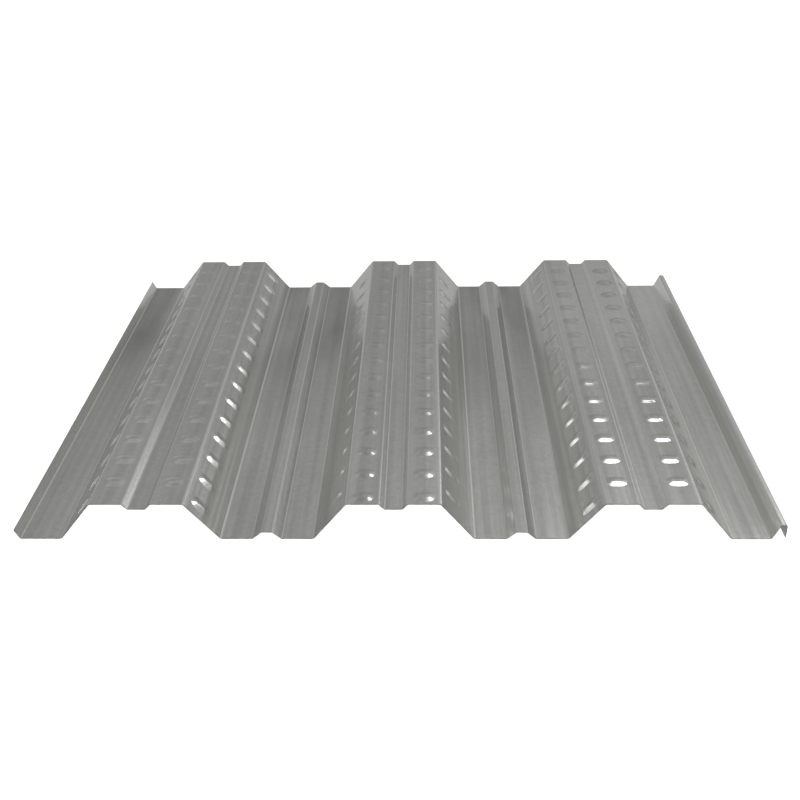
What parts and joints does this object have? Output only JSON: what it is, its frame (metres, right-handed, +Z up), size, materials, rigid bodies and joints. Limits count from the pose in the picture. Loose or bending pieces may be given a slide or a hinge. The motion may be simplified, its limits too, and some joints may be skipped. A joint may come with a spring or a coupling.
{
  "type": "steel floor decking sheet",
  "caption": "Trapezoidal galvanised steel floor decking sheet with stiffened ribs and valleys, pressed embossments that grip concrete, and a lip and hook along its side laps.",
  "frame": {"origin": "centre of the sheet's plan outline, on the plane of the valley undersides", "axes": "+X across the ribs from the lip to the hook, +Y along the ribs away from the picture's near end, +Z up"},
  "size_m": [0.923, 0.75, 0.0532],
  "materials": {
    "galvanised_steel": "satin"
  },
  "bodies": {
    "root": {"decking_sheet": "galvanised_steel"}
  },
  "joints": []
}
